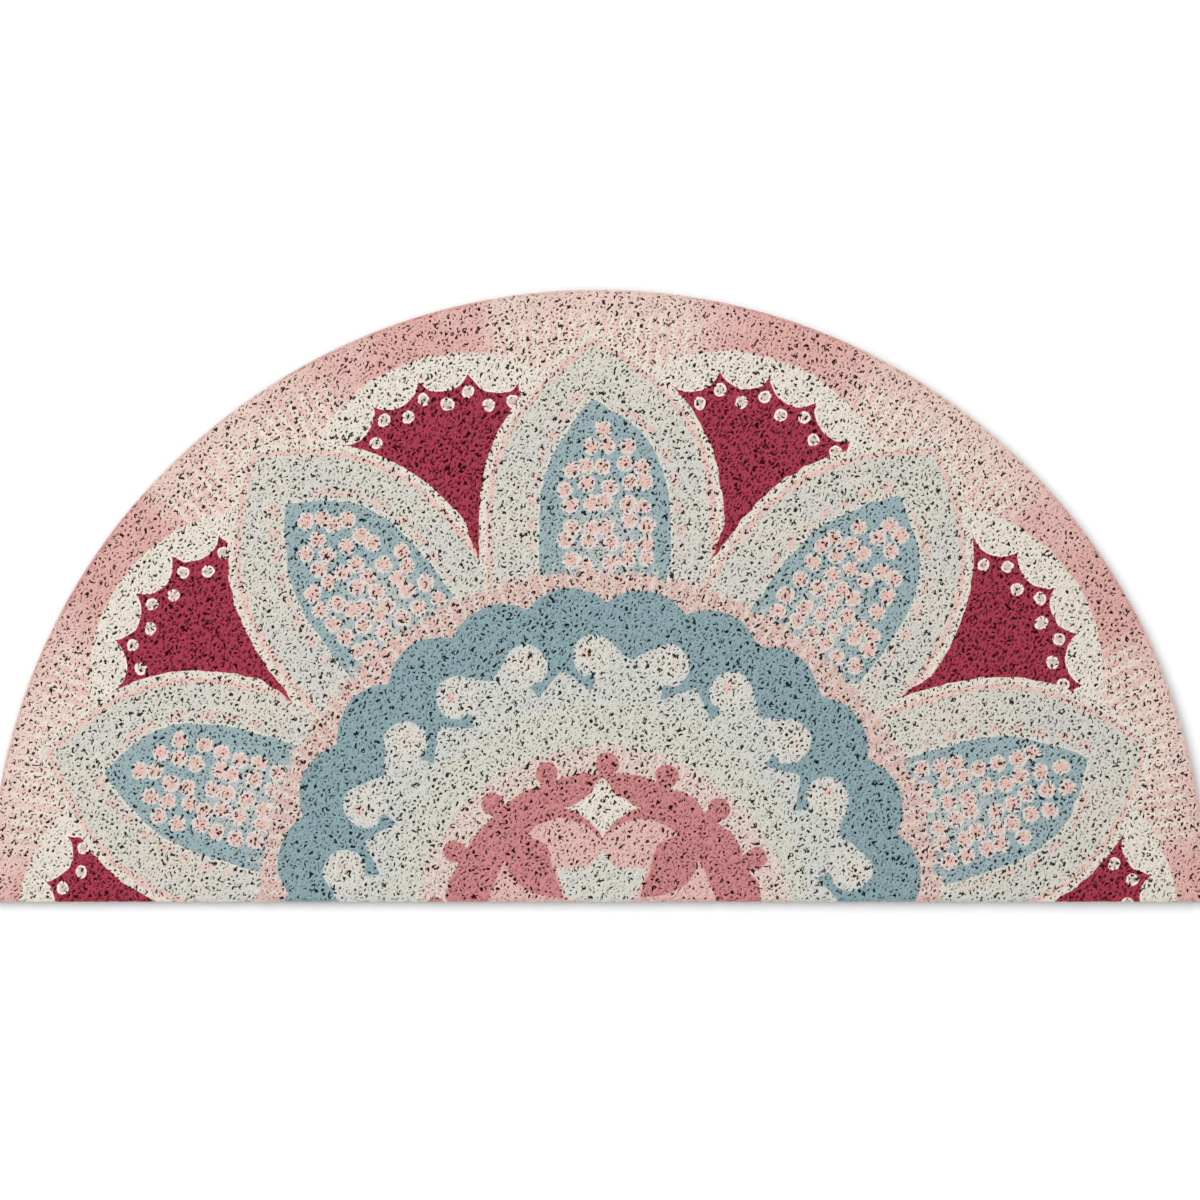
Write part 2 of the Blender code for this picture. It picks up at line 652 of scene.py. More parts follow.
def print_ring(art):
    """The blue ring with its scalloped outer edge."""
    pitch, phase, depth = deg(14.75), deg(9), 9.9
    share = fold(art.angle, pitch, phase) / pitch
    bulge = (1.0 - share * share * 4.0) * depth
    outer = art.radius - (bulge + art.size("ring_outer"))
    art.lay(inside(outer, soft=0.8), "Blue ring")


def print_waves(art):
    """White waves, in pairs that turn their crests away from each other, with a dot in each."""
    tree = art.tree
    spoke = fold(art.angle, deg(32.3), deg(7.5))
    turn = abs(spoke)
    crest_turn, crest_reach, crest_radius = deg(8.4), 168.2, 14.3
    valley_reach, shoulder_turn, rise = 166.2, deg(4.6), 2.2 / deg(1)
    trough_turn, trough_reach, back_reach = deg(9.3), 145.0, 163.0
    throat_turn, throat_reach, throat_radius = deg(9.6), 153.0, 3.2
    dot_turn, dot_reach, dot_radius = deg(9.8), 170.5, 3.2
    crest = far((turn - crest_turn) * art.radius, art.radius - crest_reach) - crest_radius
    slope = figure(tree, "MULTIPLY_ADD", turn, rise, valley_reach)
    shoulder = most(art.radius - slope, (turn - shoulder_turn) * art.radius)
    trough = figure(tree, "MULTIPLY_ADD", turn - trough_turn, rise, trough_reach)
    curl = figure(tree, "MULTIPLY_ADD", art.radius - trough_reach, deg(-0.15), trough_turn)
    near = most(art.radius - back_reach, (turn - curl) * art.radius)
    beyond = art.radius - trough
    wave = least(crest, shoulder, near, beyond)
    throat = far((turn - throat_turn) * art.radius / 1.2, art.radius - throat_reach) - throat_radius
    wave = most(wave, -throat)
    art.lay(inside(wave, soft=0.9), "Waves")
    art.lay(inside(crest + 2.0, soft=8.0) * inside(wave + 0.5) * 0.45, "Petal line")
    dot = far((turn - dot_turn) * art.radius, art.radius - dot_reach) - dot_radius
    left = inside(spoke, soft=0.001)
    art.lay(inside(dot, soft=1.2) * figure(tree, "MULTIPLY_ADD", left, 0.6, 0.3), "Blush")


def print_inner_rings(art):
    """The cream ring, the pale rim with its strokes, and the knobbed rose disc."""
    tree = art.tree
    cream_reach, rim_reach = 138.0, 123.5
    aside = art.u - 3.3
    beneath = art.v + 14.5
    knob_pitch, knob_phase, knob_seat = deg(20.8), deg(1.4), 111.6
    knob_radius, neck_half, bulge_depth = 7.7, 5.6, 3.4
    art.lay(inside(art.radius - (cream_reach + art.ragged), soft=9.0), "Cream ring")
    reach = far(aside, beneath)
    turn = figure(tree, "ARCTAN2", aside, beneath)
    art.lay(inside(reach - (rim_reach + art.ragged * 0.5), soft=3.5), "Pale rim")
    turned = turn + (art.fibre[0] - 0.5) * deg(2.2)
    stroke = inside(abs(fold(turned, deg(2.6))) * reach - 1.2, soft=1.6)
    art.lay(stroke * inside(reach - (125.0 + art.ragged), soft=6.0) * 0.6, "Star")
    knob_across, knob_along = on_spoke(reach, fold(turn, knob_pitch, knob_phase), at=knob_seat)
    head = far(knob_across, knob_along) - knob_radius
    neck = most(abs(knob_across) - neck_half, knob_along)
    between = fold(turn, knob_pitch, knob_phase + knob_pitch / 2) / knob_pitch
    bulge = (1.0 - between * between * 4.0) * bulge_depth
    disc = reach - (bulge + (art.size("rose_outer") - 1.6) + art.ragged * 0.35)
    art.lay(inside(least(head, neck, disc), soft=0.8), "Rose")


def print_blossom(art):
    """The blossom at the straight edge: a star over two crescents, a cup and two side leaves."""
    tree = art.tree
    half = abs(art.u - 2.6)
    up = art.v
    arch_middle, arch_up, arch_radius = 26.4, 30.9, 30.2
    star_up, star_half_width, star_half_height = 68.5, 25.5, 21.0
    arch = far(half - arch_middle, up - arch_up) - arch_radius
    side = half - figure(tree, "MULTIPLY_ADD", up, 0.31, 21.6)
    flank = least(side, figure(tree, "MULTIPLY_ADD", half, 0.45, 28.4) - up)
    art.lay(inside(most(arch, flank), soft=0.8), "Crescents")
    hump = figure(tree, "EXPONENT", half * half * -0.03) * 10.0
    cup = most(up - (hump + 29.0 + art.ragged * 0.25), side)
    art.lay(inside(cup, soft=0.8), "Cup")
    art.lay(inside(most(abs(side) - 0.9, up - 45.0), soft=0.8), "Crescents")
    star = figure(tree, "POWER", abs(art.u - 3.2) / star_half_width, 0.72)
    tall = figure(tree, "POWER", abs(up - star_up) / star_half_height, 0.72)
    star = (star + tall - 1.0) * 11.0
    lobe = (far((art.u - 2.8) * 1.6, up - 75.0) - 11.8) / 1.3
    art.lay(inside(least(star, lobe), soft=0.9), "Star")
    rise = figure(tree, "POWER", figure(tree, "MAXIMUM", (half - 21.0) / 43.4, 0.0), 6.0) * 19.7
    top = rise + (half - 21.0) * 0.17 + 7.9
    outer = half - (97.9 - up) / (1 / 0.41) - 38.0
    art.lay(inside(most(up - top, outer), soft=1.0), "Crescents")


def along_run(tree, vector, lengthwise, crosswise):
    """Coordinates turned to the way the curls are stretched, in cells that long and that wide."""
    turned = add(tree, "ShaderNodeVectorRotate", {"Vector": vector, "Angle": -settings()[0].run},
                 rotation_type="Z_AXIS")
    return vector_step(tree, "MULTIPLY", turned.outputs[0], (1.0 / lengthwise, 1.0 / crosswise, 0.0))


def darkened(tree, colour, value, saturation=1.0):
    """A colour at a share of its lightness."""
    return add(tree, "ShaderNodeHueSaturation",
               {"Color": colour, "Value": value, "Saturation": saturation}).outputs[0]


def print_stroke_shadows(art):
    """Short slanting shadows between the strands. Dark inks show them, pale ones hardly."""
    tree = art.tree
    cells = cells_over(tree, along_run(tree, art.flat, 4.4, 2.4), 0.9)
    chance = add(tree, "ShaderNodeSeparateColor", {0: cells.outputs["Color"]}).outputs[0]
    size = Wire(tree, chance) * 0.24 + 0.12 + (art.fibre[1] - 0.5) * 0.3
    stroke = inside(Wire(tree, cells.outputs["Distance"]) - size, soft=0.14)
    paleness = Wire(tree, add(tree, "ShaderNodeRGBToBW", {0: art.colour}).outputs[0])
    shows = figure(tree, "MULTIPLY_ADD", paleness, -3.6, 1.36, clamp=True)
    # Painted shade: the print darkened in short slanting strokes, as the shadows between the strands.
    art.lay(stroke * (shows * 0.9 + 0.05), darkened(tree, art.colour, 0.28, 1.25))


def rosette_print():
    """The print as a node group: inks go in, and the colour at a place comes out."""
    sizes, inks, measures = settings()
    names = [(inks.bl_rna.properties[key].name, key) for key in type(inks).__annotations__]
    tree, entry, leave = shader_group(
        "rosette print", [(name, "NodeSocketColor") for name, key in names],
        [("Color", "NodeSocketColor")],
    )
    for item in tree.interface.items_tree:
        if item.in_out == "INPUT":
            item.default_value = getattr(inks, dict(names)[item.name])
    art = Rosette(tree, entry, measures)
    layers = (
        print_coordinates, print_band, print_rays, print_fans, print_petals, print_hearts,
        print_beads, print_roots, print_ring, print_waves, print_inner_rings, print_blossom,
        print_stroke_shadows,
    )
    for layer in layers:
        with labelled(tree, layer.__doc__.split(".")[0].split(":")[0]):
            layer(art)
    put(tree, leave.inputs[0], art.colour)
    return tree


def shared_print():
    """The print group, made once and then shared by the materials."""
    return bpy.data.node_groups.get("rosette print") or rosette_print()


# Materials


def vinyl(name, roughness, shine=0.25):
    """A new matte vinyl material and its shader."""
    material = bpy.data.materials.new(name)
    material.use_nodes = True
    shader = material.node_tree.nodes["Principled BSDF"]
    shader.inputs["Roughness"].default_value = roughness
    shader.inputs["Specular IOR Level"].default_value = shine
    return material, material.node_tree, shader


def add_grain(tree, shader, scale, strength):
    """Fine bump, as extruded vinyl has."""
    place = add(tree, "ShaderNodeTexCoord").outputs["Object"]
    grain = add(tree, "ShaderNodeTexNoise", {"Vector": place, "Scale": scale, "Detail": 1.0})
    bump = add(tree, "ShaderNodeBump", {"Height": grain.outputs[0], "Strength": strength,
                                        "Distance": 0.0002})
    put(tree, shader.inputs["Normal"], bump.outputs[0])


def height(tree):
    """How high a place lies over the mat's underside, in millimetres."""
    place = add(tree, "ShaderNodeTexCoord").outputs["Object"]
    return place, (parts_of(tree, place)[2] - MAT_LOW.z) / MM


def painted_pit_shade(tree, art):
    """The colour down between the strands: nearly black, with a little of the print's own."""
    tint = darkened(tree, art, 0.06, 1.4)
    return blend(tree, 0.5, tuple(settings()[1].deep), tint)


def printed_strands():
    """Printed loops: the print on their backs, uneven from strand to strand, and dark below."""
    material, tree, shader = vinyl("printed_strands", 0.62)
    art = add(tree, "ShaderNodeGroup", node_tree=shared_print()).outputs[0]
    place, above = height(tree)
    uneven = noise(tree, along_run(tree, place, 0.0060, 0.0014), 1.0, detail=1.0)
    shaded = darkened(tree, art, figure(tree, "MULTIPLY_ADD", uneven[0], 0.16, 0.92))
    # Painted shade: low down the strands fade into the painted pit shade; the ink also reaches less far down there.
    risen = figure(tree, "MULTIPLY_ADD", above, 2.5, -19.0, clamp=True)
    put(tree, shader.inputs["Base Color"], blend(tree, risen, painted_pit_shade(tree, art), shaded))
    add_grain(tree, shader, 2600.0, 0.25)
    return material


def matted_strands():
    """The deep strands: backs that took some ink, with dark pits between them. The film is plain."""
    inks = settings()[1]
    material, tree, shader = vinyl("matted_strands", 0.8, shine=0.04)
    art = add(tree, "ShaderNodeGroup", node_tree=shared_print()).outputs[0]
    place, above = height(tree)
    backs = noise(tree, along_run(tree, place, 0.0022, 0.0018), 1.0, detail=1.0)
    share = figure(tree, "MULTIPLY_ADD", backs[0], 9.0, -4.6, clamp=True)
    # Painted shade in the hollows; the inked backs are brightened by a tenth as painted light, to offset the shade
    # down there.
    tinted = blend(tree, share, painted_pit_shade(tree, art), darkened(tree, art, 1.1))
    over_film = figure(tree, "GREATER_THAN", above, settings()[0].film / MM + 0.1)
    put(tree, shader.inputs["Base Color"], blend(tree, over_film, tuple(inks.film), tinted))
    bump = add(tree, "ShaderNodeBump", {"Height": backs[0], "Strength": 0.6, "Distance": 0.0012})
    put(tree, shader.inputs["Normal"], bump.outputs[0])
    return material


def edge_strands():
    """Loops of the cut edge: plain vinyl, with ink only along the top."""
    material, tree, shader = vinyl("edge_strands", 0.62)
    art = add(tree, "ShaderNodeGroup", node_tree=shared_print()).outputs[0]
    place, above = height(tree)
    uneven = noise(tree, place, 260.0, detail=1.0, kind="3D")
    risen = figure(tree, "MULTIPLY_ADD", above + uneven[0] * 1.5, 0.9, -7.0, clamp=True)
    shade = figure(tree, "MULTIPLY_ADD", uneven[1], 0.8, 0.6)
    plain = darkened(tree, tuple(settings()[1].plain), shade)
    put(tree, shader.inputs["Base Color"], blend(tree, risen, plain, art))
    add_grain(tree, shader, 2600.0, 0.25)
    return material


# Geometry


def geometry_tree(name, inputs):
    """An empty geometry tree with named inputs after its mesh, and its two end nodes."""
    tree = bpy.data.node_groups.new(name, "GeometryNodeTree")
    tree.interface.new_socket("Mesh", in_out="INPUT", socket_type="NodeSocketGeometry")
    for label, kind in inputs:
        tree.interface.new_socket(label, in_out="INPUT", socket_type=kind)
    tree.interface.new_socket("Mesh", in_out="OUTPUT", socket_type="NodeSocketGeometry")
    return tree, tree.nodes.new("NodeGroupInput"), tree.nodes.new("NodeGroupOutput")


def grown(name, seed_mesh, tree, values):
    """The plain mesh that a geometry tree grows from a mesh, as a new object."""
    piece = bpy.data.objects.new(name, seed_mesh)
    bpy.context.scene.collection.objects.link(piece)
    growth = piece.modifiers.new("growth", "NODES")
    growth.node_group = tree
    sockets = {item.name: item.identifier for item in tree.interface.items_tree
               if item.in_out == "INPUT"}
    for label, value in values.items():
        growth[sockets[label]] = value
    depsgraph = bpy.context.evaluated_depsgraph_get()
    made = bpy.data.meshes.new_from_object(piece.evaluated_get(depsgraph))
    piece.modifiers.remove(growth)
    piece.data = made
    made.name = name
    return piece


def random_between(tree, low, high, seed, kind="FLOAT"):
    """A random number or direction for each point."""
    node = tree.nodes.new("FunctionNodeRandomValue")
    node.data_type = kind
    live = [s for s in node.inputs if s.enabled]
    for socket, value in zip(live, (low, high)):
        put(tree, socket, value)
    put(tree, node.inputs["Seed"], seed)
    return next(s for s in node.outputs if s.enabled)


def store(tree, geometry, name, value, kind, domain):
    """Keep a value on the geometry under a name."""
    node = tree.nodes.new("GeometryNodeStoreNamedAttribute")
    node.data_type = kind
    node.domain = domain
    put(tree, node.inputs["Geometry"], geometry)
    node.inputs["Name"].default_value = name
    put(tree, next(s for s in node.inputs if s.name == "Value" and s.enabled), value)
    return node.outputs[0]


def recall(tree, name, kind="FLOAT"):
    """A value that was kept under a name."""
    node = add(tree, "GeometryNodeInputNamedAttribute", {"Name": name}, data_type=kind)
    return Wire(tree, next(s for s in node.outputs if s.enabled))


LOOP_POINTS = 6
SHARP_FROM = deg(80)

# Most points to a square metre, before those that stand too close are left out
MOST_POINTS = 900000.0

# How near the straight edge a loop of the cut edge counts as standing on it
STRAIGHT_BAND = 0.003

# Share of the cut edge's map that the round edge takes
ROUND_SHARE = 0.61


def here(tree):
    """The place of each point of the geometry."""
    return add(tree, "GeometryNodeInputPosition").outputs[0]


def scattered_points(tree, entry):
    """Points strewn evenly over the mesh."""
    return add(
        tree, "GeometryNodeDistributePointsOnFaces",
        {"Mesh": entry.outputs["Mesh"], "Distance Min": entry.outputs["Spacing"],
         "Density Max": MOST_POINTS, "Seed": entry.outputs["Seed"]},
        distribute_method="POISSON",
    )


def one_sector(tree, entry, points):
    """The points between two angles about the circle's middle."""
    x, y, _ = parts_of(tree, here(tree))
    turn = figure(tree, "ARCTAN2", x, y - CENTRE_Y)
    before = figure(tree, "LESS_THAN", turn, entry.outputs["First Angle"])
    after = figure(tree, "GREATER_THAN", turn, entry.outputs["Last Angle"])
    kept = add(tree, "GeometryNodeDeleteGeometry",
               {"Geometry": points, "Selection": before + after}, domain="POINT")
    return kept.outputs[0]


def curled(tree, entry, points, stance=None):
    """A curled arc on each point, with its own turn, lean, size and height."""
    arc = add(
        tree, "GeometryNodeCurveArc",
        {"Resolution": LOOP_POINTS, "Radius": entry.outputs["Loop Radius"],
         "Sweep Angle": entry.outputs["Loop Turn"]},
    )
    seed = entry.outputs["Seed"]
    lean = deg(5) if stance is None else deg(22)
    spin = random_between(tree, (-lean, -lean, 0.0), (lean, lean, deg(360)), seed, "FLOAT_VECTOR")
    turned = add(tree, "FunctionNodeEulerToRotation", {0: spin}).outputs[0]
    if stance is not None:
        turned = add(tree, "FunctionNodeRotateRotation", {0: stance, 1: turned},
                     rotation_space="LOCAL").outputs[0]
    scaled = random_between(tree, (0.70, 0.70, 1.0), (1.30, 1.30, 1.0), seed, "FLOAT_VECTOR")
    made = add(
        tree, "GeometryNodeInstanceOnPoints",
        {"Points": points, "Instance": arc.outputs[0], "Rotation": turned, "Scale": scaled},
    )
    lift = random_between(tree, 0.0, 1.0, seed)
    kept = store(tree, made.outputs[0], "lift", lift, "FLOAT", "INSTANCE")
    kept = store(tree, kept, "middle", here(tree), "FLOAT_VECTOR", "INSTANCE")
    return add(tree, "GeometryNodeRealizeInstances", {0: kept}).outputs[0]


def strayed(tree, entry, half_strand):
    """Each place of the strands, moved a little at random and kept within the cut edge."""
    position = here(tree)
    stray = add(tree, "ShaderNodeTexNoise", {"Vector": position, "Scale": 190.0, "Detail": 1.0},
                noise_dimensions="3D")
    place = parts_of(tree, position)
    shifts = parts_of(tree, stray.outputs["Color"])
    wander = Wire(tree, entry.outputs["Wander"]) * 2.0
    x, y, z = [at + (shift - 0.5) * wander for at, shift in zip(place, shifts)]
    span = far(x, y - CENTRE_Y)
    pull = figure(tree, "MINIMUM", (RADIUS - half_strand) / span, 1.0)
    x = x * pull
    y = (y - CENTRE_Y) * pull + CENTRE_Y
    y = figure(tree, "MAXIMUM", y, half_strand + EDGE_Y)
    return x, y, z, place[2]


def moved_to(tree, curves, x, y, z):
    """The curves with each point moved to a new place."""
    place = add(tree, "ShaderNodeCombineXYZ", {0: x, 1: y, 2: z})
    return add(tree, "GeometryNodeSetPosition",
               {"Geometry": curves, "Position": place.outputs[0]}).outputs[0]


def stretched(tree, entry, curves):
    """Each curl, pulled out from its middle along the run and drawn in across it."""
    run = Wire(tree, entry.outputs["Run"])
    longer = figure(tree, "SQRT", entry.outputs["Loop Stretch"])
    pull = add(tree, "ShaderNodeCombineXYZ",
               {0: longer, 1: figure(tree, "DIVIDE", 1.0, longer), 2: 1.0}).outputs[0]
    middle = recall(tree, "middle", "FLOAT_VECTOR").socket
    reach = vector_step(tree, "SUBTRACT", here(tree), middle)
    turned = add(tree, "ShaderNodeVectorRotate", {"Vector": reach, "Angle": -run},
                 rotation_type="Z_AXIS")
    pulled = vector_step(tree, "MULTIPLY", turned.outputs[0], pull)
    back = add(tree, "ShaderNodeVectorRotate", {"Vector": pulled, "Angle": run},
               rotation_type="Z_AXIS")
    x, y, z = parts_of(tree, vector_step(tree, "ADD", middle, back.outputs[0]))
    return moved_to(tree, curves, x, y, z)


def settled(tree, entry, curves):
    """Strands that stray, rise to their crown, dive at their ends and stay within the cut edge."""
    x, y, _, lain = strayed(tree, entry, Wire(tree, entry.outputs["Strand Width"]) * 0.5)
    along = Wire(tree, add(tree, "GeometryNodeSplineParameter").outputs["Factor"])
    end = figure(tree, "POWER", abs(along * 2.0 - 1.0), 5.0)
    crown = (1.0 - end) * (recall(tree, "lift") * 0.35 + 0.65)
    low = Wire(tree, entry.outputs["Pile Bottom"])
    room = Wire(tree, entry.outputs["Pile Top"]) - low
    z = figure(tree, "MINIMUM", lain * 0.8 + crown * room + low, entry.outputs["Pile Top"])
    return moved_to(tree, curves, x, y, z)


def settled_on_edge(tree, entry, curves):
    """Strands of the cut edge, between the film and the face."""
    x, y, z, _ = strayed(tree, entry, Wire(tree, entry.outputs["Strand Width"]) * 0.5)
    z = figure(tree, "MAXIMUM", z, entry.outputs["Pile Bottom"])
    z = figure(tree, "MINIMUM", z, entry.outputs["Pile Top"])
    return moved_to(tree, curves, x, y, z)


def thickened(tree, entry, curves):
    """Strands with a ridged back and a flat belly."""
    upright = add(tree, "GeometryNodeSetCurveNormal", {0: curves}, mode="Z_UP")
    width = Wire(tree, entry.outputs["Strand Width"])
    height = Wire(tree, entry.outputs["Strand Height"])
    corner = add(tree, "GeometryNodeCurvePrimitiveCircle", {"Resolution": 3, "Radius": 1.0})
    stand = add(tree, "GeometryNodeTransform", {"Geometry": corner.outputs[0],
                                                "Rotation": (0.0, 0.0, deg(-90))})
    shape = add(tree, "ShaderNodeCombineXYZ", {0: width / math.sqrt(3), 1: height / 1.5, 2: 1.0})
    sized = add(tree, "GeometryNodeTransform", {"Geometry": stand.outputs[0],
                                                "Scale": shape.outputs[0]})
    solid = add(tree, "GeometryNodeCurveToMesh",
                {"Curve": upright.outputs[0], "Profile Curve": sized.outputs[0], "Fill Caps": True})
    return solid.outputs["Mesh"]


def smoothed(tree, mesh):
    """Smooth backs with crisp rims."""
    angle = add(tree, "GeometryNodeInputMeshEdgeAngle").outputs["Unsigned Angle"]
    crisp = figure(tree, "GREATER_THAN", angle, SHARP_FROM)
    return add(tree, "GeometryNodeSetShadeSmooth",
               {"Geometry": mesh, "Selection": crisp, "Shade Smooth": False}, domain="EDGE").outputs[0]


def map_from_above(tree, mesh):
    """Faces in order of height, with each corner's place across the mesh's own box from above."""
    position = here(tree)
    up = parts_of(tree, position)[2]
    sort = add(tree, "GeometryNodeSortElements", {"Geometry": mesh, "Sort Weight": up}, domain="FACE")
    box = add(tree, "GeometryNodeBoundBox", {0: sort.outputs[0]})
    start = vector_step(tree, "SUBTRACT", position, box.outputs["Min"])
    size = vector_step(tree, "SUBTRACT", box.outputs["Max"], box.outputs["Min"])
    return sort.outputs[0], vector_step(tree, "DIVIDE", start, size)


def map_round_edge(tree, mesh):
    """Each corner's place along the outline, the round edge first, and its height."""
    x, y, z = parts_of(tree, here(tree))
    turn = figure(tree, "ARCTAN2", x, y - CENTRE_Y)
    on_round = (turn / deg(184) + 0.5) * ROUND_SHARE
    on_straight = (x / (2 * RADIUS) + 0.5) * (0.98 - ROUND_SHARE) + (ROUND_SHARE + 0.01)
    straight = recall(tree, "straight")
    share = on_round + (on_straight - on_round) * straight
    return mesh, add(tree, "ShaderNodeCombineXYZ", {0: share, 1: z / TOP}).outputs[0]


def finished(tree, entry, mesh, mapping):
    """The map for baking and the material, on a plain mesh."""
    mesh, share = mapping(tree, smoothed(tree, mesh))
    mapped = store(tree, mesh, "OFBake", share, "FLOAT2", "CORNER")
    realized = add(tree, "GeometryNodeRealizeInstances", {0: mapped})
    return add(tree, "GeometryNodeSetMaterial",
               {"Geometry": realized.outputs[0], "Material": entry.outputs["Material"]}).outputs[0]


LOOP_INPUTS = [
    ("Spacing", "NodeSocketFloat"), ("Loop Radius", "NodeSocketFloat"),
    ("Loop Turn", "NodeSocketFloat"), ("Strand Width", "NodeSocketFloat"),
    ("Strand Height", "NodeSocketFloat"), ("Wander", "NodeSocketFloat"),
    ("Pile Bottom", "NodeSocketFloat"), ("Pile Top", "NodeSocketFloat"),
    ("Seed", "NodeSocketInt"), ("Material", "NodeSocketMaterial"),
]


def face_loops_tree():
    """The growth of the face's loops over a flat mesh."""
    own = [(label, "NodeSocketFloat")
           for label in ("Loop Stretch", "Run", "First Angle", "Last Angle")]
    tree, entry, leave = geometry_tree("curled strands of the face", LOOP_INPUTS + own)
    with labelled(tree, "Points over the face"):
        points = one_sector(tree, entry, scattered_points(tree, entry).outputs["Points"])
    with labelled(tree, "Curls"):
        curves = curled(tree, entry, points)
    with labelled(tree, "Stretch, stray, crown and cut edge"):
        curves = settled(tree, entry, stretched(tree, entry, curves))
    with labelled(tree, "Strands"):
        mesh = thickened(tree, entry, curves)
    with labelled(tree, "Finish"):
        mesh = finished(tree, entry, mesh, map_from_above)
    put(tree, leave.inputs[0], mesh)
    return tree


def edge_loops_tree():
    """The growth of the cut edge's loops over an upright band."""
    tree, entry, leave = geometry_tree("curled strands of the cut edge", LOOP_INPUTS)
    with labelled(tree, "Points over the cut edge"):
        spread = scattered_points(tree, entry)
        y = parts_of(tree, here(tree))[1]
        straight = figure(tree, "LESS_THAN", y, EDGE_Y + STRAIGHT_BAND)
        points = store(tree, spread.outputs["Points"], "straight", straight, "FLOAT", "POINT")
    with labelled(tree, "Curls"):
        curves = curled(tree, entry, points, spread.outputs["Rotation"])
    with labelled(tree, "Stray and cut edge"):
        curves = settled_on_edge(tree, entry, curves)
    with labelled(tree, "Strands"):
        mesh = thickened(tree, entry, curves)
    with labelled(tree, "Finish"):
        mesh = finished(tree, entry, mesh, map_round_edge)
    put(tree, leave.inputs[0], mesh)
    return tree


def edge_reach(angle, inset):
    """From the middle of the straight edge out to the round edge, at an angle from the mat's
    middle line, for an outline that is inset."""
    middle = CENTRE_Y - (EDGE_Y + inset)
    return middle * math.cos(angle) + math.sqrt((RADIUS - inset)**2 - (middle * math.sin(angle))**2)


def outline_points(inset, steps=180):
    """Points of the round edge from +X to -X, for an outline that is inset."""
    points = []
    for step in range(steps + 1):
        angle = deg(90) - deg(180) * step / steps
        reach = edge_reach(angle, inset)
        points.append(Vector((reach * math.sin(angle), EDGE_Y + inset + reach * math.cos(angle), 0.0)))
    return points


def edge_mesh(inset, low, high):
    """An upright band, inset from the outline, that points are strewn on."""
    shape = bmesh.new()
    outline = outline_points(inset)
    feet = [shape.verts.new(point + Vector((0.0, 0.0, low))) for point in outline]
    tops = [shape.verts.new(point + Vector((0.0, 0.0, high))) for point in outline]
    for n in range(len(feet)):
        after = (n + 1) % len(feet)
        shape.faces.new((feet[n], feet[after], tops[after], tops[n]))
    mesh = bpy.data.meshes.new("edge")
    shape.to_mesh(mesh)
    shape.free()
    return mesh


def face_mesh(inset):
    """A flat half-moon, inset from the outline, that points are strewn on."""
    shape = bmesh.new()
    face = shape.faces.new([shape.verts.new(point) for point in outline_points(inset)])
    shape.normal_update()
    if face.normal.z < 0:
        face.normal_flip()
    mesh = bpy.data.meshes.new("face")
    shape.to_mesh(mesh)
    shape.free()
    return mesh


def on_the_mat(piece):
    """What every piece of the mat shares: it moves with the root body, in the print's finish."""
    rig.ride(piece, "root")
    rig.slot(piece, "printed_vinyl")
    return piece


PILE_PIECES = 6


class DOORMAT_OT_face_loops(Operator):
    """Grow the printed loops of the face, in sectors"""

    bl_idname = "doormat.face_loops"
    bl_label = "Face loops"

    def execute(self, context):
        sizes = settings()[0]
        tree = face_loops_tree()
        material = printed_strands()
        face = face_mesh(sizes.strand_width / 2)
        cuts = [-deg(180)] + [deg(-90 + 180 * n / PILE_PIECES) for n in range(1, PILE_PIECES)]
        cuts.append(deg(180))
        for number in range(PILE_PIECES):
            piece = grown(f"face_loops_{number + 1}", face, tree, {
                "Spacing": sizes.spacing, "Loop Radius": sizes.loop_radius,
                "Loop Turn": sizes.loop_turn, "Strand Width": sizes.strand_width,
                "Strand Height": sizes.strand_height, "Wander": sizes.wander,
                "Pile Bottom": sizes.pile_low, "Pile Top": TOP - sizes.strand_height,
                "Loop Stretch": sizes.loop_stretch, "Run": sizes.run,
                "First Angle": cuts[number], "Last Angle": cuts[number + 1],
                "Seed": sizes.seed, "Material": material,
            })
            if not piece.data.polygons:
                raise RuntimeError(f"{piece.name} has no loops")
            on_the_mat(piece)
        return {"FINISHED"}


class DOORMAT_OT_edge_loops(Operator):
    """Grow the loops of the cut edge, all round"""

    bl_idname = "doormat.edge_loops"
    bl_label = "Edge loops"

    def execute(self, context):
        sizes = settings()[0]
        width = sizes.edge_strand
        low = sizes.film + width / 2
        high = TOP - width * 0.7
        piece = grown("edge_loops", edge_mesh(sizes.edge_inset, low, high), edge_loops_tree(), {
            "Spacing": sizes.edge_spacing, "Loop Radius": sizes.edge_radius,
            "Loop Turn": sizes.loop_turn, "Strand Width": width, "Strand Height": width,
            "Wander": sizes.wander / 2, "Pile Bottom": low, "Pile Top": high,
            "Seed": sizes.seed, "Material": edge_strands(),
        })
        if not piece.data.polygons:
            raise RuntimeError("the cut edge has no loops")
        on_the_mat(piece)
        return {"FINISHED"}


def body_mesh(sizes):
    """The closed body: a film along the underside, and a flat mass of strands that stands back
    from the cut edge over it."""
    spokes, rings = 120, 40
    film_rim = 0.0002
    shape = bmesh.new()
    levels = []
    for inset, height in ((0.0, 0.0), (0.0, sizes.film), (sizes.inset, sizes.film + film_rim)):
        levels.append(half_moon_ring(shape, spokes, inset, 1.0, height))
    for ring in range(rings, 0, -1):
        levels.append(half_moon_ring(shape, spokes, sizes.inset, ring / rings, sizes.body_top))
    for low, high in zip(levels, levels[1:]):
        count = len(low)
        for n in range(count):
            shape.faces.new((low[n], low[(n + 1) % count], high[(n + 1) % count], high[n]))
    shape.faces.new(levels[-1])
    shape.faces.new(list(reversed(levels[0])))
    bmesh.ops.recalc_face_normals(shape, faces=shape.faces[:])
    mesh = bpy.data.meshes.new("mat_body")
    shape.to_mesh(mesh)
    shape.free()
    return mesh


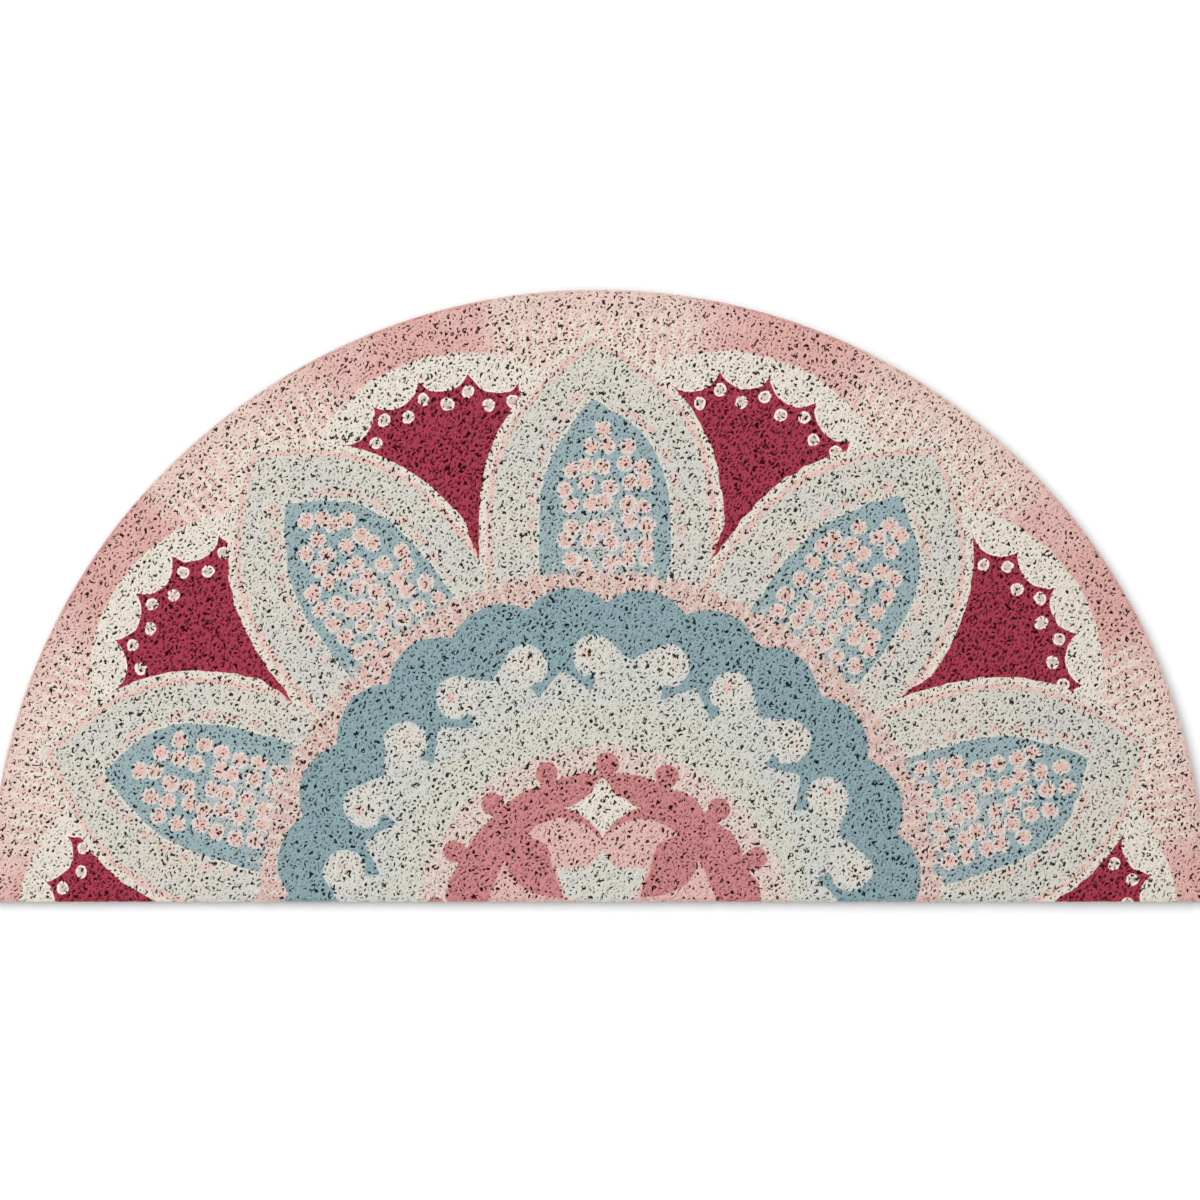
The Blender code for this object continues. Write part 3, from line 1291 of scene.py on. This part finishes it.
def half_moon_ring(shape, spokes, inset, share, height):
    """Points round a half-moon that is inset and shrunk towards the foot of its middle line."""
    foot = Vector((0.0, EDGE_Y + inset + (1.0 - share) * RADIUS * 0.4, height))
    ring = []
    for step in range(spokes + 1):
        angle = deg(90) - deg(180) * step / spokes
        reach = edge_reach(angle, inset) * share
        ring.append(shape.verts.new(foot + Vector((reach * math.sin(angle),
                                                   reach * math.cos(angle), 0.0))))
    base = spokes // 2
    for step in range(1, base):
        across = (2.0 * step / base - 1.0) * edge_reach(deg(90), inset) * share
        ring.append(shape.verts.new(foot + Vector((across, 0.0, 0.0))))
    return ring


class DOORMAT_OT_body(Operator):
    """Make the mat's closed body, under the loops"""

    bl_idname = "doormat.body"
    bl_label = "Body"

    def execute(self, context):
        sizes = settings()[0]
        mesh = body_mesh(sizes)
        body = bpy.data.objects.new("mat_body", mesh)
        context.scene.collection.objects.link(body)
        mesh.materials.append(matted_strands())
        mesh.shade_smooth()
        mesh.set_sharp_from_angle(angle=deg(50))
        on_the_mat(body)
        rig.replaces(body, "mat")
        return {"FINISHED"}


# Stage

FRAME_WIDTH = 0.7884
FRAME_MIDDLE = (0.0014, -0.0029)
CAMERA_HEIGHT = 3.0
SENSOR = 36.0
FLOOR_HALF = 6.0
FLOOR_SHADE = 0.96
SKY_STRENGTH = 0.80
LAMP_SIZE = 2.2
LAMP_POWER = 42.0
LAMP_PLACE = (-0.9, 1.0, 2.4)


class DOORMAT_OT_stage(Operator):
    """Lay the pale floor, and set the soft light and the camera"""

    bl_idname = "doormat.stage"
    bl_label = "Stage"

    def execute(self, context):
        scene = context.scene
        mesh = bpy.data.meshes.new("floor")
        shape = bmesh.new()
        bmesh.ops.create_grid(shape, x_segments=1, y_segments=1, size=FLOOR_HALF)
        bmesh.ops.translate(shape, verts=shape.verts[:], vec=(0.0, 0.0, MAT_LOW.z - 0.0002))
        shape.to_mesh(mesh)
        shape.free()
        floor = bpy.data.objects.new("floor", mesh)
        scene.collection.objects.link(floor)
        material, tree, shader = vinyl("pale_floor", 0.9)
        shader.inputs["Base Color"].default_value = (FLOOR_SHADE, FLOOR_SHADE, FLOOR_SHADE, 1.0)
        mesh.materials.append(material)
        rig.stage(floor)

        world = bpy.data.worlds.new("soft light")
        world.use_nodes = True
        sky = world.node_tree.nodes["Background"]
        sky.inputs["Color"].default_value = (1.0, 1.0, 1.0, 1.0)
        sky.inputs["Strength"].default_value = SKY_STRENGTH
        scene.world = world

        lamp = bpy.data.lights.new("softbox", "AREA")
        lamp.shape = "DISK"
        lamp.size = LAMP_SIZE
        lamp.energy = LAMP_POWER
        softbox = bpy.data.objects.new("softbox", lamp)
        softbox.location = LAMP_PLACE
        softbox.rotation_euler = (-softbox.location).to_track_quat("-Z", "Y").to_euler()
        scene.collection.objects.link(softbox)

        lens = bpy.data.cameras.new("camera")
        lens.sensor_width = SENSOR
        lens.lens = SENSOR * CAMERA_HEIGHT / FRAME_WIDTH
        camera = bpy.data.objects.new("camera", lens)
        camera.location = (FRAME_MIDDLE[0], FRAME_MIDDLE[1], TOP + CAMERA_HEIGHT)
        scene.collection.objects.link(camera)
        scene.camera = camera
        scene.view_settings.view_transform = "Standard"
        return {"FINISHED"}


class DOORMAT_PT_panel(Panel):
    """Sidebar panel that lists the operators and the values a user would change"""

    bl_label = "Half-moon doormat"
    bl_idname = "DOORMAT_PT_panel"
    bl_space_type = "VIEW_3D"
    bl_region_type = "UI"
    bl_category = "Doormat"

    def draw(self, context):
        layout = self.layout
        for step in STEPS:
            layout.operator(step.bl_idname)
        for title, group in zip(("Sizes", "Inks", "Print"), settings()):
            box = layout.box()
            box.label(text=title)
            for key in type(group).__annotations__:
                box.prop(group, key)


STEPS = (DOORMAT_OT_body, DOORMAT_OT_face_loops, DOORMAT_OT_edge_loops, DOORMAT_OT_stage)
CLASSES = (DoormatSizes, DoormatInks, DoormatPrint, *STEPS, DOORMAT_PT_panel)


def register():
    """Register the classes and hang the three groups of values on the scene."""
    for cls in CLASSES:
        bpy.utils.register_class(cls)
    bpy.types.Scene.doormat_sizes = PointerProperty(type=DoormatSizes)
    bpy.types.Scene.doormat_inks = PointerProperty(type=DoormatInks)
    bpy.types.Scene.doormat_print = PointerProperty(type=DoormatPrint)


def unregister():
    """Undo register."""
    del bpy.types.Scene.doormat_print
    del bpy.types.Scene.doormat_inks
    del bpy.types.Scene.doormat_sizes
    for cls in reversed(CLASSES):
        bpy.utils.unregister_class(cls)


def declare_sheet():
    """The whole mat is one sheet: its body, with the loops that stand on it."""
    body = bpy.data.objects["mat_body"]
    loops = [o for o in bpy.data.objects if "_loops" in o.name]
    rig.sheet(body, flat=(2 * RADIUS, MAT_HIGH.y - EDGE_Y), area=FLAT_AREA, held="laid",
             rests_on=["floor"], with_pieces=loops)


def main():
    """Make everything in order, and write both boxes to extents.json."""
    register()
    bpy.ops.doormat.body()
    bpy.ops.doormat.face_loops()
    bpy.ops.doormat.edge_loops()
    bpy.ops.doormat.stage()
    declare_sheet()
    boxes = {
        "cad": [list(corner) for corner in CAD_BOX],
        "visual": [list(corner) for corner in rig.bounds()],
    }
    with open("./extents.json", "w") as out:
        json.dump(boxes, out)


if __name__ == "__main__":
    main()
